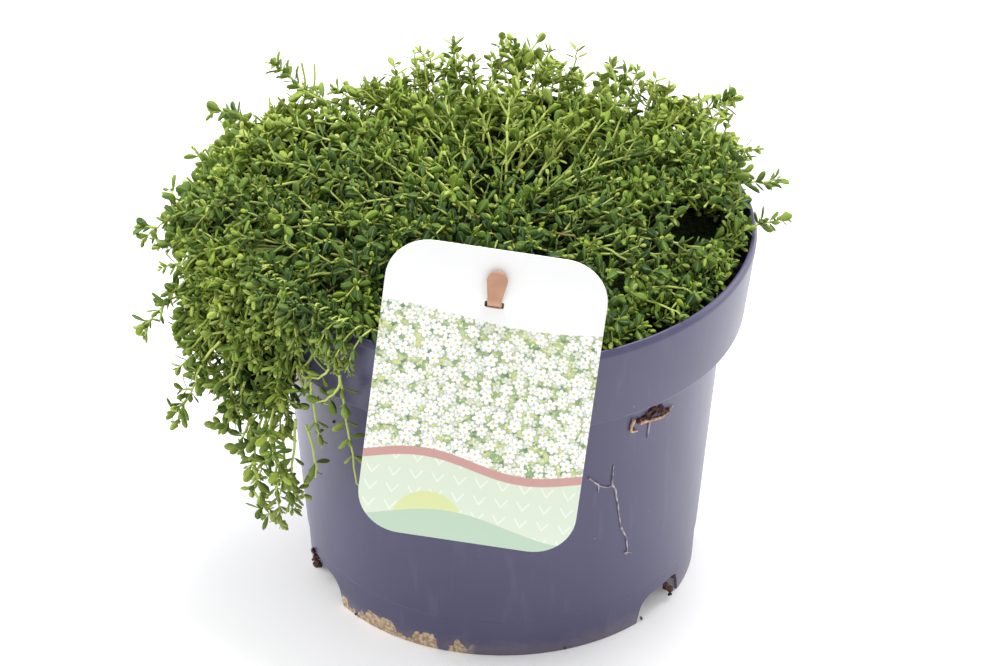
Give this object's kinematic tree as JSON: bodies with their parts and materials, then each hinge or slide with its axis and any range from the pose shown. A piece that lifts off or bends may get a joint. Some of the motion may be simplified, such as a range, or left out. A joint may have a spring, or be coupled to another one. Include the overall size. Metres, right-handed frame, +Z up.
{
  "type": "potted thyme",
  "caption": "Low creeping thyme that mounds over and spills past the rim of a round tapered nursery pot, with a blank-worded picture card on a stake at the front.",
  "frame": {"origin": "middle of the bottom of the whole part's box, on the surface that it stands on; the pot's axis is 14 mm to the right of it and 6 mm behind it", "axes": "+Z up; -Y is the front, where the label hangs; +X is to the viewer's right"},
  "size_m": [0.2478, 0.2016, 0.1955],
  "materials": {
    "pot_plastic": "satin moulded plastic, dark blue-grey, scuffed, with dried soil at the foot",
    "peat": "moist dark peat with crumbs and fine roots",
    "card_plastic": "white plastic card with a printed flower pattern and colour fields",
    "stake_plastic": "warm brown moulded plastic",
    "leaf": "small waxy leaves, mid to dark green, on greenish wiry stems",
    "leaf_tip": "young leaves and stems, fresh yellow-green"
  },
  "bodies": {
    "root": {"nursery_pot": "pot_plastic", "root_ball": "peat", "label_card": "card_plastic", "label_stake": "stake_plastic", "thyme_mat": "leaf", "trailing_stem_01": "leaf_tip", "trailing_stem_02": "leaf_tip", "trailing_stem_03": "leaf_tip", "trailing_stem_04": "leaf_tip", "trailing_stem_05": "leaf_tip", "trailing_stem_06": "leaf_tip", "trailing_stem_07": "leaf_tip", "trailing_stem_08": "leaf_tip", "trailing_stem_09": "leaf_tip", "trailing_stem_10": "leaf_tip", "trailing_stem_11": "leaf_tip", "trailing_stem_12": "leaf_tip", "trailing_stem_13": "leaf_tip", "trailing_stem_14": "leaf_tip"}
  },
  "joints": []
}
